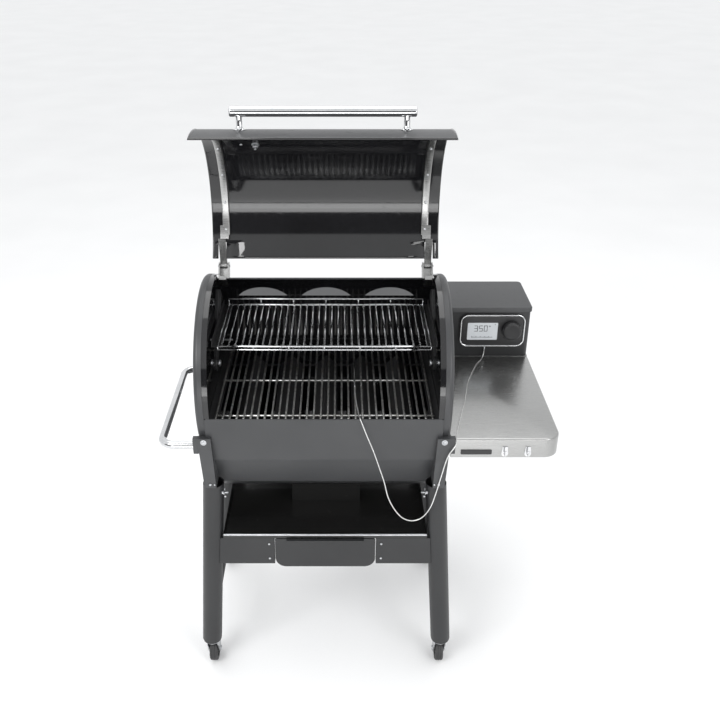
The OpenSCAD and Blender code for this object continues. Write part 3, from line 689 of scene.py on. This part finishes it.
def draw_fascia(bm):
    loops = []
    for inset, y in ((5, BOX_FRONT - 0.2), (5, BEZEL_FACE + 3), (6, BEZEL_FACE + 2),
                     (9, BEZEL_FACE + 1.6)):
        loops.append([at(u, y, v) for u, v in
                      rounded((BEZEL_X[0] + inset, BEZEL_X[1] - inset),
                              (BEZEL_Z[0] + inset, BEZEL_Z[1] - inset), 25 - inset, 12)])
    loft(bm, loops)


piece("control_bezel_trim", draw_bezel_ring, "root", "chrome", ["control_bezel"])
piece("control_fascia", draw_fascia, "root", "black_plastic")

DISPLAY_X, DISPLAY_Z = (439, 533), (9, 67)


def draw_display(bm):
    extruded(bm, rounded(DISPLAY_X, DISPLAY_Z, 3), "y", BEZEL_FACE + 0.2, BEZEL_FACE + 1.8)


piece("display_glass", draw_display, "root", "display", ["display_panel"], bevel=0.5)

SEGMENTS = {"3": "abgcd", "5": "afgcd", "0": "abcdef"}


def draw_digits(bm):
    """The set temperature in seven-segment figures, a degree ring and a bar of setting marks."""
    w, h, t, y0, y1 = 11, 20, 1.7, BEZEL_FACE - 0.1, BEZEL_FACE + 0.4
    for k, figure in enumerate("350"):
        x, z = 460 + 15 * k, 38
        bars = {"a": ((x, x + w), (z + h - t, z + h)), "d": ((x, x + w), (z, z + t)),
                "g": ((x, x + w), (z + h / 2 - t / 2, z + h / 2 + t / 2)),
                "b": ((x + w - t, x + w), (z + h / 2, z + h)),
                "c": ((x + w - t, x + w), (z, z + h / 2)),
                "f": ((x, x + t), (z + h / 2, z + h)), "e": ((x, x + t), (z, z + h / 2))}
        for name in SEGMENTS[figure]:
            extruded(bm, rounded(*bars[name], 0.8, 3), "y", y0, y1)
    ring = arc((508, 55.5), 2.6, 0, 360, 20) + arc((508, 55.5), 1.5, 360, 0, 20)
    extruded(bm, ring, "y", y0, y1)
    for k in range(20):
        x = 453 + 3.3 * k
        extruded(bm, rounded((x, x + 1.8), (17, 19.2 + (k % 4 == 0) * 2), 0.4, 2), "y", y0, y1)
    extruded(bm, rounded((523, 525), (60, 63), 0.6, 2), "y", y0, y1)


piece("display_figures", draw_digits, "root", "black_plastic")


def draw_knob(bm):
    r = 29
    loops, count = [], 96
    for d, radius in ((0, r - 1.5), (0.6, r), (15.5, r), (17.6, r - 0.8), (19, r - 2.4),
                      (19.6, r - 5), (19.2, r - 9), (18.6, 6), (18.6, 0.6)):
        loop = []
        for k in range(count):
            a = 2 * math.pi * k / count
            q = radius - (0.5 if k % 4 < 2 and 0 < d < 16 else 0)
            loop.append(at(KNOB_X + q * math.cos(a), 430 - d, KNOB_Z + q * math.sin(a)))
        loops.append(loop)
    loft(bm, loops)
    turned(bm, (KNOB_X, 429, KNOB_Z), (0, 1, 0), [(0, 4), (28, 4), (29, 3)], 24)
    extruded(bm, rounded((KNOB_X - 1, KNOB_X + 1), (KNOB_Z + 12, KNOB_Z + 24), 0.8, 3), "y",
             410.2, 412)


piece("control_knob_cap", draw_knob, "knob", "black_plastic", ["control_knob"])

# ---------- side rail ----------

RAIL_X, RAIL_R, RAIL_Z, RAIL_BACK, RAIL_BEND = -440, 11, -73, 392, 35


def draw_rail(bm):
    back = arc((RAIL_X + RAIL_BEND, RAIL_BACK - RAIL_BEND), RAIL_BEND, 90, 180, 10)
    front = [(x, RAIL_BACK + TABLE_FRONT - y) for x, y in reversed(back)]
    line = [(-338.7, RAIL_BACK)] + back + front + [(-350.3, TABLE_FRONT)]
    wire(bm, [(x, y, RAIL_Z) for x, y in line], RAIL_R, 32)
    turned(bm, (-338.6, RAIL_BACK, RAIL_Z), (-1, 0, 0),
           [(0, 17), (1.6, 17), (2.8, 16), (4.2, 13), (5.4, 11.4), (5.4, 10)], 36)
    turned(bm, (-350.2, TABLE_FRONT, RAIL_Z), (-1, 0, 0),
           [(0, 11.2), (0, 14), (2.2, 14), (3.4, 13), (3.8, 11.2)], 36)


piece("side_rail_tube", draw_rail, "root", "chrome", ["side_rail"])

# ---------- bolts, screws and small fittings ----------


def bolt(bm, start, axis, r, high, washer=True):
    """A domed bolt head on a washer."""
    profile = [(0, r * 1.5), (0.8, r * 1.5), (1.0, r * 1.4)] if washer else [(0, r)]
    turned(bm, start, axis, profile + [(1.1, r), (1.1 + high * 0.45, r * 0.96),
                                       (1.1 + high * 0.8, r * 0.72), (1.1 + high, r * 0.2)], 24)


def draw_bolts(bm, side):
    bolt(bm, (side * 321, -58, -54), (0, -1, 0), 5.4, 3.4)
    bolt(bm, (side * 312, -58, -190), (0, -1, 0), 3.6, 2.2, washer=False)
    bolt(bm, (side * 300, -58, -190), (0, -1, 0), 2.6, 1.8, washer=False)
    for z in (-404, -456):
        bolt(bm, (side * 160, -48, z), (0, -1, 0), 3.4, 1.9, washer=False)
    for y in (40, 360):
        bolt(bm, (side * 338.2, y, -120), (side, 0, 0), 4.6, 2.8)


piece("frame_bolts", both(draw_bolts), "root", "zinc_steel")


def draw_plate_bolts(bm, side):
    turned(bm, (side * 304.4, AXIS_Y, 50), (-side, 0, 0),
           [(0, 10), (3.4, 10), (4.8, 9.2), (6, 7), (6.6, 4), (6.8, 0.4)], 28)


def draw_rear_rim(bm):
    """The rolled edge along the cookbox's rear rim, and the turned lip of its front panel."""
    rim = (Vector(barrel(0, BARREL_R - 0.8, 49.3)) - ORIGIN) / MM
    rod(bm, (-285, rim.y, rim.z), (285, rim.y, rim.z), 2.7, 14)
    rod(bm, (-312, -54.6, 15.4), (312, -54.6, 15.4), 1.9, 12)


piece("cookbox_rolled_rims", draw_rear_rim, "root", "charcoal_enamel")


def draw_outer_coat(bm):
    """The charcoal paint outside the cookbox's front and rear, over its black inside."""
    line = [((-56, 16), (-0.99, -0.16)), ((-34, -123), (-0.97, -0.28)),
            ((10, -225), (-0.82, -0.62)), ((130, -320), (-0.62, -0.78))]
    for flip in (1, -1):
        coat = [[(y + n * t, z + m * t) for (y, z), (n, m) in line] for t in (0.8, 0.1)]
        outline = [(AXIS_Y + flip * (y - AXIS_Y), z) for y, z in coat[0] + coat[1][::-1]]
        extruded(bm, outline, "x", -315.4, 315.4)


piece("cookbox_outer_coat", draw_outer_coat, "root", "charcoal_enamel", sharp=10)


# The rolled front rim of the black tray, drawn in bright zinc steel: its brightness is a painted highlight along
# the tray's edge
def draw_tray_rim(bm):
    rod(bm, (-289.6, -46.2, -372.6), (289.6, -46.2, -372.6), 3.3, 16)


piece("tray_rim_painted_highlight", draw_tray_rim, "root", "zinc_steel")


def draw_wing_nuts(bm, side):
    """A wing nut and its screw at the inner side of each front leg's top."""
    x, y, z = side * 277, -40, -229
    turned(bm, (x + side * 8, y, z), (-side, 0, 0), [(0, 5), (4, 5), (8, 3.6), (8, 2.4), (17, 2.4),
                                                    (18, 1.6)], 20)
    for turn in (-1, 1):
        wing = arc((y + turn * 9, z + 4), 4.6, 0, 360, 18)[:-1]
        extruded(bm, wing, "x", x, x + side * 2)
    turned(bm, (x, y + 4, z - 16), (0, -1, 0), [(0, 3), (1, 3.4), (2.4, 2.6), (3, 0.6)], 16)


piece("leg_wing_nuts", both(draw_wing_nuts), "root", "zinc_steel", bevel=0.3)

piece("side_plate_bolts", both(draw_plate_bolts), "root", "zinc_steel")

# ---------- casters ----------

AXLE_X = 350.52  # the leg's foot, where its lean ends
WHEEL_D, FORK_OFFSET = 76, 22
AXLE_Z = -ORIGIN.z / MM + WHEEL_D / 2


def draw_wheel(side, y):
    """A tyre with a tread groove each side, on a moulded hub with ribs and a bearing boss."""
    def draw(bm):
        x, v = side * AXLE_X, y + FORK_OFFSET
        r = WHEEL_D / 2
        tyre = [(-12, r - 11), (-12, r - 3.5), (-11, r - 1.4), (-8.5, r - 0.2), (-5, r),
                (-4.4, r - 1.2), (-3.4, r - 1.2), (-2.8, r), (2.8, r), (3.4, r - 1.2),
                (4.4, r - 1.2), (5, r), (8.5, r - 0.2), (11, r - 1.4), (12, r - 3.5), (12, r - 11),
                (9, r - 11.5), (8, r - 13), (4, r - 14), (4, 12), (14, 9.5), (14, 4.2),
                (-14, 4.2), (-14, 9.5), (-4, 12), (-4, r - 14), (-8, r - 13), (-9, r - 11.5)]
        loops = []
        for k in range(64):
            a = 2 * math.pi * k / 64
            loops.append([at(x + d, v + q * math.cos(a), AXLE_Z + q * math.sin(a))
                          for d, q in tyre])
        loft(bm, loops, closed=True)
        for k in range(6):
            a = math.pi / 3 * k
            c, n = math.cos(a), math.sin(a)
            corners = [(10.5, -1.2), (r - 12.5, -1.2), (r - 12.5, 1.2), (10.5, 1.2)]
            loft(bm, [[at(x + d, v + q * c - w * n, AXLE_Z + q * n + w * c) for q, w in corners]
                      for d in (-8.5, 8.5)])
    return draw


def draw_axle_nuts(side, y):
    def draw(bm):
        for way in (-1, 1):
            start = (side * AXLE_X + way * 18.1, y + FORK_OFFSET, AXLE_Z)
            turned(bm, start, (way, 0, 0), [(0, 7.4), (0.9, 7.4), (1, 6.6), (2.6, 6.6)], 24)
            turned(bm, start, (way, 0, 0), [(0.9, 6.2), (2.7, 6.2), (2.9, 5.6)], 6)
    return draw


FRONT_LEG_Y = -28
REAR_LEG_Y = 2 * AXIS_Y - FRONT_LEG_Y
for end, y in (("front", FRONT_LEG_Y), ("rear", REAR_LEG_Y)):
    for hand, side in (("left", -1), ("right", 1)):
        corner = f"{end}_{hand}"
        piece(f"{corner}_tyre", draw_wheel(side, y), f"{corner}_roller", "wheel_plastic",
              [f"{corner}_wheel"], sharp=30)
        piece(f"{corner}_axle_nuts", draw_axle_nuts(side, y), f"{corner}_caster", "zinc_steel")

# ---------- rear fittings ----------

FAN_X, FAN_Z, GUARD_Y = -150, -245, 505.4


def draw_fan_guard(bm):
    """Wire rings and spokes over the fan's inlet."""
    for r in (21, 15.5, 10, 4.5):
        wire(bm, [(x, GUARD_Y, z) for x, z in arc((FAN_X, FAN_Z), r, 0, 360, 30)], 0.7, 8)
    for k in range(4):
        a = math.radians(45 + 90 * k)
        ends = [(FAN_X + r * math.cos(a), GUARD_Y + 0.2, FAN_Z + r * math.sin(a)) for r in (4, 27)]
        rod(bm, *ends, 0.8, 8)


piece("fan_guard", draw_fan_guard, "root", "zinc_steel")


HOPPER_BACK, HOPPER_HALF = 712, 300


def draw_hopper_screws(bm):
    for side in (-1, 1):
        for z in (60, -40):
            bolt(bm, (side * (HOPPER_HALF - 16), HOPPER_BACK, z), (0, 1, 0), 3.6, 2.0)
            bolt(bm, (side * HOPPER_HALF, 500, z), (side, 0, 0), 3.6, 2.0)
            bolt(bm, (side * HOPPER_HALF, 680, z), (side, 0, 0), 3.6, 2.0)
        for x in (166, 234):
            bolt(bm, (side * x, HOPPER_BACK, 34), (0, 1, 0), 3.0, 1.8, washer=False)
    for x, z in ((-70, -176), (70, -176), (-120, -130), (120, -130)):
        bolt(bm, (x, HOPPER_BACK, z), (0, 1, 0), 3.0, 1.8, washer=False)
    for x in (372, 610):
        for z in (-30, 80):
            bolt(bm, (x, BOX_BACK, z), (0, 1, 0), 3.0, 1.8, washer=False)


piece("rear_screws", draw_hopper_screws, "root", "zinc_steel")


def draw_lid_pull(bm):
    """The hopper lid's bent wire pull and its two feet."""
    half, y, low, high, bend = 56, 473, 89, 102, 6
    line = [(-half, y, low)] + [(x, y, z) for x, z in
                                arc((bend - half, high - bend), bend, 180, 90, 6)]
    line += [(-x, v, z) for x, v, z in reversed(line)]
    wire(bm, line, 4.2, 16)
    for side in (-1, 1):
        turned(bm, (side * half, y, low), (0, 0, 1), [(0, 9), (1.4, 9), (2.6, 7.6), (3, 4.3)], 24)


piece("hopper_lid_pull", draw_lid_pull, "hopper_lid_body", "chrome")

# ---------- studio ----------


def area_light(name, where, aim, size, power, tint=(1, 1, 1)):
    light = bpy.data.lights.new(name, "AREA")
    light.shape, light.size, light.size_y = "RECTANGLE", size[0], size[1]
    light.energy, light.color = power, tint
    made = bpy.data.objects.new(name, light)
    bpy.context.scene.collection.objects.link(made)
    made.location = where
    made.rotation_euler = (Vector(aim) - Vector(where)).to_track_quat("-Z", "Y").to_euler()


middle = Vector((0, 0, 0.8))
area_light("key", (-2.0, -2.6, 3.1), middle, (1.6, 1.2), 55)
area_light("fill", (2.2, -2.9, 2.0), middle, (1.6, 1.6), 36)
area_light("low_front", (-0.2, -4.2, 0.5), middle, (3.6, 0.8), 38)
area_light("top", (0, 0.6, 3.6), middle, (3.2, 2.2), 40)

world = bpy.data.worlds.new("studio")
world.use_nodes = True
sky = world.node_tree
backdrop = sky.nodes["Background"]


def sky_node(kind, *links, **values):
    node = sky.nodes.new("ShaderNode" + kind)
    for key, value in values.items():
        node.inputs[key.replace("_", " ")].default_value = value
    for output, key in links:
        sky.links.new(output, node.inputs[key])
    return node


def band(value, start, stop):
    """0 below start, rising to 1 at stop."""
    node = sky_node("MapRange", (value, "Value"), From_Min=start, From_Max=stop)
    node.interpolation_type = "SMOOTHSTEP"
    return node.outputs["Result"]


def times(a, b):
    node = sky_node("Math", (a, 0), (b, 1))
    node.operation = "MULTIPLY"
    return node.outputs["Value"]


# A white room with a dark doorway low in front, which only reflections and fill light see
direction = sky_node("SeparateXYZ", (sky.nodes.new("ShaderNodeTexCoord").outputs["Generated"],
                                     "Vector")).outputs
doorway = times(band(direction["Y"], -0.3, -0.5), band(direction["Z"], 0.38, 0.34))
seen = sky.nodes.new("ShaderNodeLightPath").outputs["Is Glossy Ray"]
room = sky_node("Mix", (times(doorway, seen), "Factor"))
room.data_type = "RGBA"
room.inputs["A"].default_value = (0.98, 0.99, 1, 1)
room.inputs["B"].default_value = (0.12, 0.12, 0.125, 1)
sky.links.new(room.outputs["Result"], backdrop.inputs["Color"])
backdrop.inputs["Strength"].default_value = 1.0
bpy.context.scene.world = world

floor_look = look("studio_floor", (0.86, 0.86, 0.86), (0.9, 0.9, 0.9), (0.6, 0.7), mottle=1.5,
                  grain=300, bump=0.02)
floor_mesh = bpy.data.meshes.new("studio_floor")
FLOOR, FLOOR_FRONT = 30, -7.5
floor_mesh.from_pydata([(x, y, 0) for x, y in ((-FLOOR, FLOOR_FRONT), (FLOOR, FLOOR_FRONT),
                                               (FLOOR, FLOOR), (-FLOOR, FLOOR))],
                       [], [(0, 1, 2, 3)])
floor_mesh.materials.append(floor_look)
floor = bpy.data.objects.new("studio_floor", floor_mesh)
bpy.context.scene.collection.objects.link(floor)
